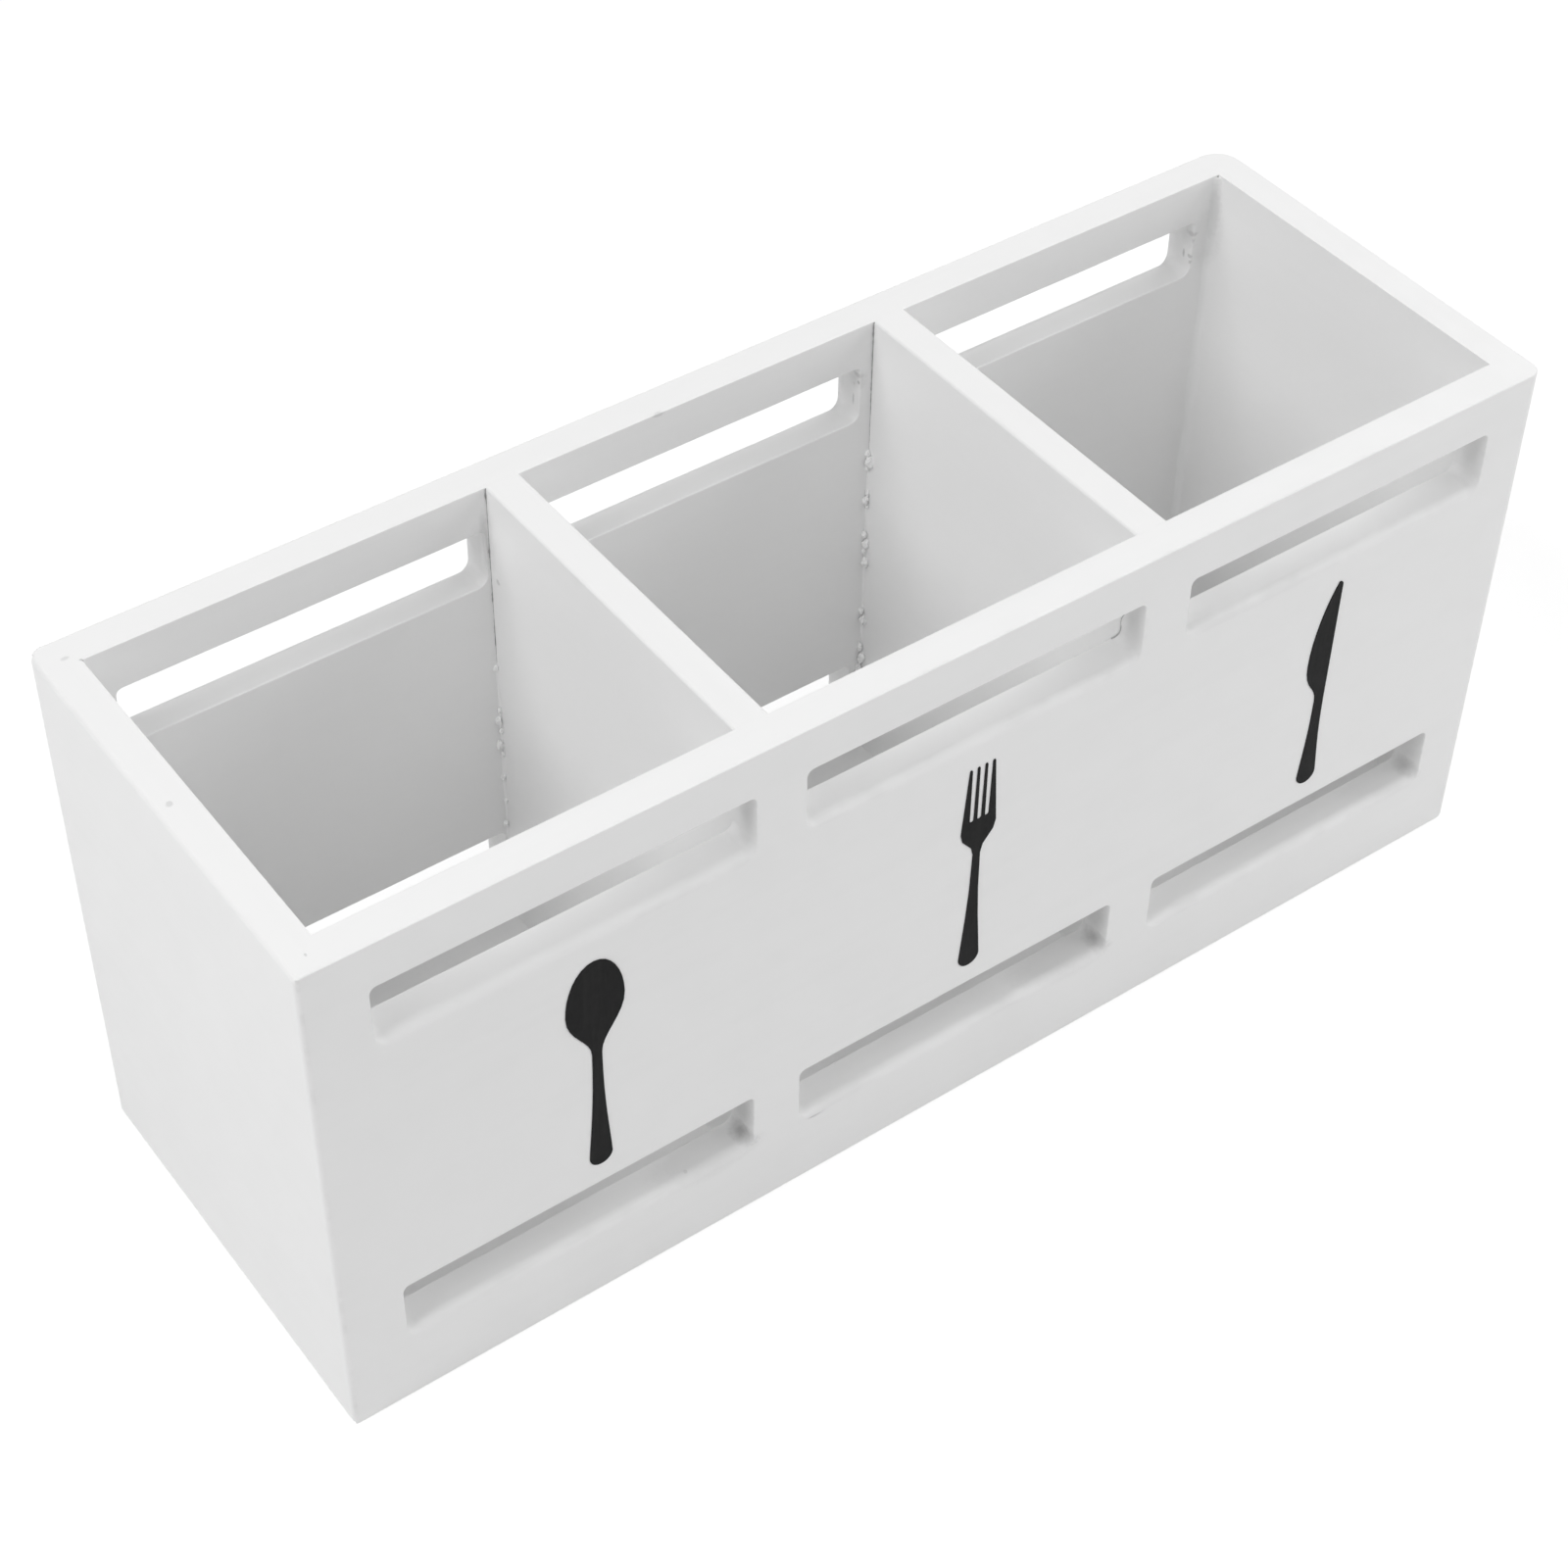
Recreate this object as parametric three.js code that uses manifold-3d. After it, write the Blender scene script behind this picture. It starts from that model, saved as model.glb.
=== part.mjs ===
// Utensil holder: a white painted wooden box in three compartments, slotted at the front and the rear.
// Millimetres. X runs along the holder, Y from its front to its rear, and Z up from the table.
// The origin is on the table, under the middle of the box.
import * as THREE from 'three';
import Module from 'manifold-3d';
import { mergeVertices } from 'three/addons/utils/BufferGeometryUtils.js';

// Driving dimensions of the box
const holderLength = 300;
const holderDepth = 102;
const holderHeight = 131.5;
const wallThickness = 8;
const dividerThickness = 8;
const bottomThickness = 8;
const glueLine = 0.1;
const compartmentCount = 3;

// Softened edges
const frontCornerRadius = 1.5;
const rearCornerRadius = 4;
const outerEase = 0.5;
const rimEase = 0.6;
const slotEase = 0.4;
const slotLipEase = 2.2;

// Slots in the long panels
const slotHeight = 14.2;
const slotCornerRadius = 1.6;
const rimToSlot = 11;
const bottomToSlot = 12;
const webLand = 2;
const endLand = 5.5;

// Panel pins, driven through the long panels and punched under the surface
const pinDiameter = 1.2;
const pinHeadDiameter = 1.9;
const pinHeadHeight = 0.6;
const pinLength = 20;
const pinPointLength = 2;
const pinSetDepth = 1.5;
const pinClearance = 0.3;
const pinToSlot = 14;

// Cutlery figures, cut from black film. Each stands this far right of the middle of its slot.
const filmThickness = 0.2;
const figureToSlot = 5.8;
const handleEndWidth = 5.3;
const spoonShift = 4.9;
const forkShift = 2.1;
const knifeShift = 2.5;

const spoonLength = 59;
const spoonNeckWidth = 2.2;
const bowlWidth = 13.3;
const bowlLength = 26;

const forkLength = 58.4;
const forkNeckWidth = 1.8;
const forkHeadWidth = 8.9;
const forkHeadLength = 25;
const forkHeelLength = 7.5;
const tineLength = 15;
const tineWidth = 0.6;
const tinePitch = 1.94;
const tineGapWidth = 1.05;

const knifeLength = 58.8;
const knifeNeckWidth = 2.6;
const knifeTipRadius = 1;
const bladeWidth = 6.5;
const bladeLength = 33.5;

// Fineness of the curves, and the overrun that lets every cutter pass right through
const cornerSteps = 5;
const easeSteps = 3;
const pinSteps = 8;
const figureSteps = 8;
const overrun = 3;
const mergeTolerance = 1e-4;

// Places worked out from the driving dimensions
const innerLength = holderLength - 2 * wallThickness;
const innerDepth = holderDepth - 2 * wallThickness;
const dividerCount = compartmentCount - 1;
const cellLength = (innerLength - dividerCount * dividerThickness) / compartmentCount;
const cellPitch = cellLength + dividerThickness;
const slotWeb = dividerThickness + 2 * webLand;
const slotEndMargin = wallThickness + endLand;
const slotLength = (holderLength - 2 * slotEndMargin - dividerCount * slotWeb) / compartmentCount;
const slotPitch = slotLength + slotWeb;
const lowerSlotCentre = bottomThickness + bottomToSlot + slotHeight / 2;
const upperSlotCentre = holderHeight - rimToSlot - slotHeight / 2;
const figureFoot = lowerSlotCentre + slotHeight / 2 + figureToSlot;

const wasm = await Module();
wasm.setup();

// Materials
function paintedWood() {
  return new THREE.MeshStandardMaterial({ color: 0xeeeeec, roughness: 0.55, metalness: 0 });
}

function blackFilm() {
  return new THREE.MeshStandardMaterial({ color: 0x262626, roughness: 0.5, metalness: 0 });
}

function brightSteel() {
  return new THREE.MeshStandardMaterial({ color: 0xb8bcc0, roughness: 0.35, metalness: 1 });
}

// A closed mesh as a solid that can be cut
function solidOf(geometry) {
  const bare = geometry.clone();
  bare.deleteAttribute('normal');
  bare.deleteAttribute('uv');
  const merged = mergeVertices(bare, mergeTolerance);
  const corners = merged.index.array;
  const kept = [];
  for (let i = 0; i < corners.length; i += 3) {
    const [a, b, c] = corners.slice(i, i + 3);
    if (a !== b && b !== c && c !== a) kept.push(a, b, c);
  }
  const vertProperties = new Float32Array(merged.attributes.position.array);
  return new wasm.Manifold(new wasm.Mesh({ numProp: 3, vertProperties, triVerts: new Uint32Array(kept) }));
}

// A solid as a geometry with flat facets
function geometryOf(solid) {
  const { vertProperties, triVerts } = solid.getMesh();
  const shared = new THREE.BufferGeometry();
  shared.setAttribute('position', new THREE.BufferAttribute(vertProperties, 3));
  shared.setIndex(new THREE.BufferAttribute(triVerts, 1));
  const faceted = shared.toNonIndexed();
  faceted.computeVertexNormals();
  return faceted;
}

function cutAll(solid, cutters) {
  return cutters.reduce((left, cutter) => left.subtract(cutter), solid);
}

// The middles of a row of equal spaces, counted from the left
function rowPlaces(count, pitch) {
  return Array.from({ length: count }, (_, i) => (i - (count - 1) / 2) * pitch);
}

// A rectangle's outline, with four corners that may be rounded, anticlockwise from the lower right
function rectangle(width, height, radii = [0, 0, 0, 0]) {
  const points = [];
  radii.forEach((radius, corner) => {
    const turn = (corner - 1) * Math.PI / 2;
    const steps = radius > 0 ? cornerSteps : 0;
    const sideX = corner === 0 || corner === 1 ? 1 : -1;
    const sideY = corner === 1 || corner === 2 ? 1 : -1;
    const centreX = sideX * (width / 2 - radius);
    const centreY = sideY * (height / 2 - radius);
    for (let step = 0; step <= steps; step++) {
      const angle = turn + step / cornerSteps * Math.PI / 2;
      points.push(new THREE.Vector2(
        centreX + radius * Math.cos(angle),
        centreY + radius * Math.sin(angle),
      ));
    }
  });
  return points;
}

// A convex outline that changes as it rises: one ring of points at each level, closed at both ends
function loft(levels) {
  const count = levels[0].outline.length;
  const positions = levels.flatMap(({ z, outline }) => outline.flatMap((p) => [p.x, p.y, z]));
  const index = [];
  for (let level = 0; level < levels.length - 1; level++) {
    for (let i = 0; i < count; i++) {
      const a = level * count + i;
      const b = level * count + (i + 1) % count;
      index.push(a, b, b + count, a, b + count, a + count);
    }
  }
  const top = (levels.length - 1) * count;
  for (let i = 1; i < count - 1; i++) {
    index.push(0, i + 1, i);
    index.push(top, top + i, top + i + 1);
  }
  const geometry = new THREE.BufferGeometry();
  geometry.setAttribute('position', new THREE.Float32BufferAttribute(positions, 3));
  geometry.setIndex(index);
  return geometry;
}

// A quarter round that softens an edge: how deep under the face, and how far outside the opening
function easeStations(ease) {
  return Array.from({ length: easeSteps + 1 }, (_, step) => {
    const angle = step / easeSteps * Math.PI / 2;
    return { under: ease * (1 - Math.cos(angle)), outside: ease * (1 - Math.sin(angle)) };
  });
}

// The walls' outside before they are parted: a block with rounded corners and softened edges
function sandedBlock() {
  const radii = [frontCornerRadius, rearCornerRadius, rearCornerRadius, frontCornerRadius];
  const shape = new THREE.Shape(rectangle(holderLength, holderDepth, radii));
  const block = new THREE.ExtrudeGeometry(shape, {
    depth: holderHeight - 2 * outerEase,
    bevelThickness: outerEase,
    bevelSize: outerEase,
    bevelOffset: -outerEase,
    bevelSegments: easeSteps,
  });
  block.translate(0, 0, outerEase);
  return solidOf(block);
}

function hollow() {
  const box = new THREE.BoxGeometry(innerLength, innerDepth, holderHeight + 2 * overrun);
  box.translate(0, 0, holderHeight / 2);
  return solidOf(box);
}

// Takes the sharp edge off the rim all round one compartment, as sanding after assembly does
function rimReamer(centreX) {
  const ringAt = (z, outside) => ({
    z,
    outline: rectangle(cellLength + 2 * outside, innerDepth + 2 * outside),
  });
  const rising = easeStations(rimEase).reverse();
  const levels = [
    ringAt(holderHeight - rimEase - overrun, -overrun),
    ...rising.map(({ under, outside }) => ringAt(holderHeight - under, outside)),
    ringAt(holderHeight + overrun, rimEase),
  ];
  const reamer = loft(levels);
  reamer.translate(centreX, 0, 0);
  return solidOf(reamer);
}

// How far a quarter round has drawn in its edge at one depth under the face
function easedAt(ease, under) {
  const left = Math.max(ease - under, 0);
  return ease - Math.sqrt(ease * ease - left * left);
}

// One routed slot. Its edges are crisp, except the lower lip outside, which is sanded well round.
// It is drawn with its outside up, and stood upright to face outwards: -1 to the front, 1 to the rear
function slotCutter(centreX, centreY, centreZ, outward) {
  const ringAt = (z, outside, lip) => {
    const corner = slotCornerRadius + outside;
    const lipCorner = slotCornerRadius + (outside + lip) / 2;
    const shape = rectangle(
      slotLength + 2 * outside,
      slotHeight + outside + lip,
      [lipCorner, corner, corner, lipCorner],
    );
    return { z, outline: shape.map((p) => new THREE.Vector2(p.x, p.y + (outside - lip) / 2)) };
  };
  const inner = easeStations(slotEase).map(({ under, outside }) => (
    ringAt(under - wallThickness / 2, outside, outside)
  ));
  const outer = easeStations(slotLipEase).reverse().map(({ under, outside }) => (
    ringAt(wallThickness / 2 - under, easedAt(slotEase, under), outside)
  ));
  const cutter = loft([
    ringAt(-wallThickness / 2 - overrun, slotEase, slotEase),
    ...inner,
    ...outer,
    ringAt(wallThickness / 2 + overrun, slotEase, slotLipEase),
  ]);
  cutter.rotateX(Math.PI / 2);
  if (outward > 0) cutter.rotateZ(Math.PI);
  cutter.translate(centreX, centreY, centreZ);
  return solidOf(cutter);
}

// Every slot of one long panel, which faces -1, the front, or 1, the rear
function slotCutters(outward) {
  const centreY = outward * (holderDepth - wallThickness) / 2;
  return [lowerSlotCentre, upperSlotCentre].flatMap((z) => (
    rowPlaces(compartmentCount, slotPitch).map((x) => slotCutter(x, centreY, z, outward))
  ));
}

// The space of one wall, between its two mitres. The sides are front, rear, left and right.
function mitreWedge(side) {
  const alongX = side === 'front' || side === 'rear';
  const sign = side === 'front' || side === 'left' ? -1 : 1;
  const halfSpan = (alongX ? holderLength : holderDepth) / 2;
  const face = (alongX ? holderDepth : holderLength) / 2;
  const jointGap = glueLine * Math.SQRT1_2;
  const reach = wallThickness + overrun;
  const wide = halfSpan + overrun - jointGap;
  const narrow = halfSpan - reach - jointGap;
  const corners = [
    [-wide, face + overrun],
    [wide, face + overrun],
    [narrow, face - reach],
    [-narrow, face - reach],
  ];
  const points = corners.map(([along, out]) => (
    alongX ? new THREE.Vector2(along, sign * out) : new THREE.Vector2(sign * out, along)
  ));
  const wedge = new THREE.ExtrudeGeometry(new THREE.Shape(points), {
    depth: holderHeight + 2 * overrun,
    bevelEnabled: false,
  });
  wedge.translate(0, 0, -overrun);
  return solidOf(wedge);
}

// A pin's outline, turned about Y with its head at the origin. spare widens it into the hole that takes it
function pinGeometry(spare) {
  const head = pinHeadDiameter / 2 + spare;
  const shank = pinDiameter / 2 + spare;
  const profile = [
    new THREE.Vector2(0, -spare),
    new THREE.Vector2(head, -spare),
    new THREE.Vector2(head, pinHeadHeight + spare),
    new THREE.Vector2(shank, pinHeadHeight + spare),
    new THREE.Vector2(shank, pinLength - pinPointLength),
    new THREE.Vector2(0, pinLength + spare),
  ];
  return new THREE.LatheGeometry(profile, pinSteps);
}

// Every pin: its name, its head's place and the way it points along Y
function pinPlaces() {
  const heights = {
    lower: lowerSlotCentre + slotHeight / 2 + pinToSlot,
    upper: upperSlotCentre - slotHeight / 2 - pinToSlot,
  };
  const dividerPlaces = rowPlaces(dividerCount, cellPitch);
  const cellPlaces = rowPlaces(compartmentCount, cellPitch);
  const places = [];
  for (const [side, inward] of [['front', 1], ['rear', -1]]) {
    const headY = -inward * (holderDepth / 2 - pinSetDepth);
    ['left', 'right'].forEach((which, i) => {
      for (const [level, z] of Object.entries(heights)) {
        places.push({ name: `pin_${side}_${which}_divider_${level}`, x: dividerPlaces[i], y: headY, z, inward });
      }
    });
    ['left', 'middle', 'right'].forEach((which, i) => {
      const z = bottomThickness / 2;
      places.push({ name: `pin_${side}_bottom_${which}`, x: cellPlaces[i], y: headY, z, inward });
    });
  }
  return places;
}

function pinHole({ x, y, z, inward }) {
  const hole = pinGeometry(pinClearance);
  if (inward < 0) hole.rotateX(Math.PI);
  hole.translate(x, y, z);
  return solidOf(hole);
}

// Pieces of the box
const shell = sandedBlock().subtract(hollow());
const reamers = rowPlaces(compartmentCount, cellPitch).map(rimReamer);
const pinHoles = pinPlaces().map(pinHole);

function wallPanel(name, side) {
  const alongX = side === 'front' || side === 'rear';
  const sign = side === 'front' ? -1 : 1;
  const board = cutAll(shell.intersect(mitreWedge(side)), reamers);
  const slots = alongX ? slotCutters(sign) : [];
  const holes = alongX ? pinHoles : [];
  const panel = new THREE.Mesh(geometryOf(cutAll(cutAll(board, slots), holes)), paintedWood());
  panel.name = name;
  return panel;
}

// A divider: its upright section with two softened top edges, run from the front panel to the rear one
function dividerPanel(name, x) {
  const half = dividerThickness / 2;
  const foot = bottomThickness + glueLine;
  const run = innerDepth - 2 * glueLine;
  const section = new THREE.Shape();
  section.moveTo(-half, foot);
  section.lineTo(half, foot);
  section.lineTo(half, holderHeight - rimEase);
  section.absarc(half - rimEase, holderHeight - rimEase, rimEase, 0, Math.PI / 2);
  section.lineTo(rimEase - half, holderHeight);
  section.absarc(rimEase - half, holderHeight - rimEase, rimEase, Math.PI / 2, Math.PI);
  const board = new THREE.ExtrudeGeometry(section, {
    depth: run,
    bevelEnabled: false,
    curveSegments: easeSteps,
  });
  board.rotateX(Math.PI / 2);
  board.translate(x, run / 2, 0);
  const geometry = geometryOf(cutAll(solidOf(board), pinHoles));
  geometry.translate(-x, 0, 0);
  const divider = new THREE.Mesh(geometry, paintedWood());
  divider.name = name;
  divider.position.x = x;
  return divider;
}

function bottomBoard() {
  const board = new THREE.BoxGeometry(innerLength - 2 * glueLine, innerDepth - 2 * glueLine, bottomThickness);
  board.translate(0, 0, bottomThickness / 2);
  const bottom = new THREE.Mesh(geometryOf(cutAll(solidOf(board), pinHoles)), paintedWood());
  bottom.name = 'bottom_board';
  return bottom;
}

function panelPin({ name, x, y, z, inward }) {
  const pin = new THREE.Mesh(pinGeometry(0), brightSteel());
  pin.name = name;
  pin.position.set(x, y, z);
  if (inward < 0) pin.rotation.x = Math.PI;
  return pin;
}

// Cutlery figures. Each is drawn round an upright middle line, with its foot at the origin.

// The right edge of a handle: a half round end, then a slow taper up to the neck
function handleEdge(neckWidth, neckHeight) {
  const end = handleEndWidth / 2;
  const neck = neckWidth / 2;
  const taper = neckHeight - end;
  const fullShare = 0.75;
  const lowShare = 0.22;
  const highShare = 0.5;
  const path = new THREE.Path();
  path.moveTo(0, 0);
  path.absarc(0, end, end, -Math.PI / 2, 0);
  path.bezierCurveTo(
    neck + fullShare * (end - neck), end + lowShare * taper,
    neck, end + highShare * taper,
    neck, neckHeight,
  );
  return path;
}

// The same edge on the other side of the middle line, run back down
function mirrored(points) {
  return points.map((p) => new THREE.Vector2(-p.x, p.y)).reverse();
}

function spoonShape() {
  const half = bowlWidth / 2;
  const neck = spoonNeckWidth / 2;
  const bowlFoot = spoonLength - bowlLength;
  const throatShare = 0.19;
  const cheekShare = 0.29;
  const widestShare = 0.535;
  const shoulderShare = 0.77;
  const crownShare = 0.6;
  const edge = handleEdge(spoonNeckWidth, bowlFoot);
  edge.bezierCurveTo(
    neck, bowlFoot + throatShare * bowlLength,
    half, bowlFoot + cheekShare * bowlLength,
    half, bowlFoot + widestShare * bowlLength,
  );
  edge.bezierCurveTo(
    half, bowlFoot + shoulderShare * bowlLength,
    crownShare * half, spoonLength,
    0, spoonLength,
  );
  const right = edge.getPoints(figureSteps);
  return new THREE.Shape([...right, ...mirrored(right.slice(1, -1))]);
}

// Four tines. The outer ones lean with the head's sides, and each gap ends in a half round.
function forkShape() {
  const half = forkHeadWidth / 2;
  const neck = forkNeckWidth / 2;
  const gap = tineGapWidth / 2;
  const tip = tineWidth / 2;
  const heelFoot = forkLength - forkHeadLength;
  const heelTop = heelFoot + forkHeelLength;
  const tipFoot = forkLength - tip;
  const root = forkLength - tineLength + gap;
  const innerTine = tinePitch / 2;
  const outerTine = innerTine + tinePitch;
  const sweepShare = 0.5;
  const edge = handleEdge(forkNeckWidth, heelFoot);
  edge.bezierCurveTo(
    neck, heelFoot + sweepShare * forkHeelLength,
    half, heelTop - sweepShare * forkHeelLength,
    half, heelTop,
  );
  edge.absarc(outerTine, tipFoot, tip, 0, Math.PI);
  edge.absarc(tinePitch, root, gap, 0, -Math.PI, true);
  edge.absarc(innerTine, tipFoot, tip, 0, Math.PI);
  edge.absarc(0, root, gap, 0, -Math.PI / 2, true);
  const right = edge.getPoints(figureSteps / 2);
  return new THREE.Shape([...right, ...mirrored(right.slice(1, -1))]);
}

// A table knife: a straight back on the right, and a full edge on the left that runs out to the tip
function knifeShape() {
  const back = knifeNeckWidth / 2;
  const belly = back - bladeWidth;
  const heelFoot = knifeLength - bladeLength;
  const heelShare = 0.14;
  const bellyShare = 0.36;
  const edgeShare = 0.61;
  const pointShare = 0.87;
  const slimShare = 0.45;
  const handle = handleEdge(knifeNeckWidth, heelFoot).getPoints(figureSteps);
  const blade = new THREE.Path();
  blade.moveTo(back, knifeLength - knifeTipRadius);
  blade.absarc(back - knifeTipRadius, knifeLength - knifeTipRadius, knifeTipRadius, 0, Math.PI / 2);
  blade.bezierCurveTo(
    slimShare * belly, heelFoot + pointShare * bladeLength,
    belly, heelFoot + edgeShare * bladeLength,
    belly, heelFoot + bellyShare * bladeLength,
  );
  blade.bezierCurveTo(
    belly, heelFoot + heelShare * bladeLength,
    -back, heelFoot + heelShare * bladeLength,
    -back, heelFoot,
  );
  const edge = blade.getPoints(figureSteps).slice(0, -1);
  return new THREE.Shape([...handle, ...edge, ...mirrored(handle.slice(1))]);
}

function figureDecal(name, shape, x) {
  const film = new THREE.ExtrudeGeometry(shape, { depth: filmThickness, bevelEnabled: false });
  film.rotateX(Math.PI / 2);
  const decal = new THREE.Mesh(film, blackFilm());
  decal.name = name;
  decal.position.set(x, -holderDepth / 2, figureFoot);
  return decal;
}

// The whole holder
const holder = new THREE.Group();
const [leftDividerPlace, rightDividerPlace] = rowPlaces(dividerCount, cellPitch);
const [leftSlotPlace, middleSlotPlace, rightSlotPlace] = rowPlaces(compartmentCount, slotPitch);
holder.add(wallPanel('front_panel', 'front'));
holder.add(wallPanel('rear_panel', 'rear'));
holder.add(wallPanel('left_end_panel', 'left'));
holder.add(wallPanel('right_end_panel', 'right'));
holder.add(dividerPanel('left_divider', leftDividerPlace));
holder.add(dividerPanel('right_divider', rightDividerPlace));
holder.add(bottomBoard());
holder.add(figureDecal('spoon_decal', spoonShape(), leftSlotPlace + spoonShift));
holder.add(figureDecal('fork_decal', forkShape(), middleSlotPlace + forkShift));
holder.add(figureDecal('knife_decal', knifeShape(), rightSlotPlace + knifeShift));
for (const place of pinPlaces()) holder.add(panelPin(place));

export default holder;
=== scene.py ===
"""Looks of a white painted wooden utensil holder with three compartments.

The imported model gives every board, film and pin its place. Lengths here are in metres.
X runs along the holder, Y from its front to its rear, and Z up from the table.
"""

import logging
import math
from dataclasses import dataclass, field
from enum import Enum
from typing import Callable

import bmesh
import bpy
from mathutils import Matrix, Vector, noise


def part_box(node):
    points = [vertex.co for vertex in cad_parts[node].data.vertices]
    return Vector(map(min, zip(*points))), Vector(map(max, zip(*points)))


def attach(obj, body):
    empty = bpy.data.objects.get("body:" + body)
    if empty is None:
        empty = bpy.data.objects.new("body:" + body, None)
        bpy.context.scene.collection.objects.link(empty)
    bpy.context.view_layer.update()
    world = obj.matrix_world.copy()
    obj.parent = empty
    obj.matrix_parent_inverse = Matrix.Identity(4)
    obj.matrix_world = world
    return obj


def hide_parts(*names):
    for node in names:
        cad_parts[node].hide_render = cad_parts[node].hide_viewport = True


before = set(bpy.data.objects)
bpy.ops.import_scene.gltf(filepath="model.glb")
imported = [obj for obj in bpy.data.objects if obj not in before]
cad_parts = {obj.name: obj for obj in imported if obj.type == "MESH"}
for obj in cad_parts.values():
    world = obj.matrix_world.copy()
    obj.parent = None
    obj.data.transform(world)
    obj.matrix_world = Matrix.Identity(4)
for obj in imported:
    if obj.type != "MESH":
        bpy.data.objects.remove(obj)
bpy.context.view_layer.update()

Pair = tuple[float, float]
Triple = tuple[float, float, float]
Colour = tuple[float, float, float, float]
Mesh = bmesh.types.BMesh
Vert = bmesh.types.BMVert
Edge = bmesh.types.BMEdge
Face = bmesh.types.BMFace
Socket = bpy.types.NodeSocket
Material = bpy.types.Material
Object = bpy.types.Object

log = logging.getLogger("utensil_holder")
MM = 0.001
BODY = "root"
SHARP_ANGLE = math.radians(35)
FLAT_ANGLE = math.radians(1)
MERGE = 1e-6
LEVEL = 0.01
FACE_WEIGHT = 100
ARRIS = "arris"
WHITE = (1.0, 1.0, 1.0, 1.0)


class Side(Enum):
    """The four sides of the box, each with its turn about Z from the front one, in degrees."""

    FRONT = 0
    RIGHT = 90
    REAR = 180
    LEFT = 270


class Slot(Enum):
    """The record's material slots."""

    PAINT = "white_paint"
    FILM = "black_film"
    STEEL = "pin_steel"


# What all pieces share


def add_mesh(bm: Mesh, name: str) -> Object:
    """Adds a shape to the scene.

    Args:
        bm: The shape. It is freed here.
        name: What its object and its mesh are called.

    Returns:
        The object.
    """
    mesh = bpy.data.meshes.new(name)
    bm.to_mesh(mesh)
    bm.free()
    made = bpy.data.objects.new(name, mesh)
    bpy.context.scene.collection.objects.link(made)
    return made


def wear(made: Object, material: Material) -> None:
    """Gives a piece its finish.

    Args:
        made: The object to dress.
        material: Its Blender material.
    """
    made.data.materials.clear()
    made.data.materials.append(material)


@dataclass
class Piece:
    """One visible piece of the holder: its name and, once it is built, its object."""

    name: str
    made: Object | None = field(default=None, init=False)

    def finish(self, bm: Mesh) -> None:
        """Makes a shape the piece's object, smooth but for its sharp edges.

        Args:
            bm: The finished shape, in the holder's frame. It is freed here.
        """
        bmesh.ops.recalc_face_normals(bm, faces=bm.faces[:])
        for face in bm.faces:
            face.smooth = True
        for edge in bm.edges:
            edge.smooth = len(edge.link_faces) != 2 or edge.calc_face_angle(0.0) < SHARP_ANGLE
        self.made = add_mesh(bm, self.name)
        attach(self.made, BODY)

    def dress(self, material: Material) -> None:
        """Gives the piece its paint, or the glue that shows in place of paint."""
        wear(self.made, material)


# Finishes


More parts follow.
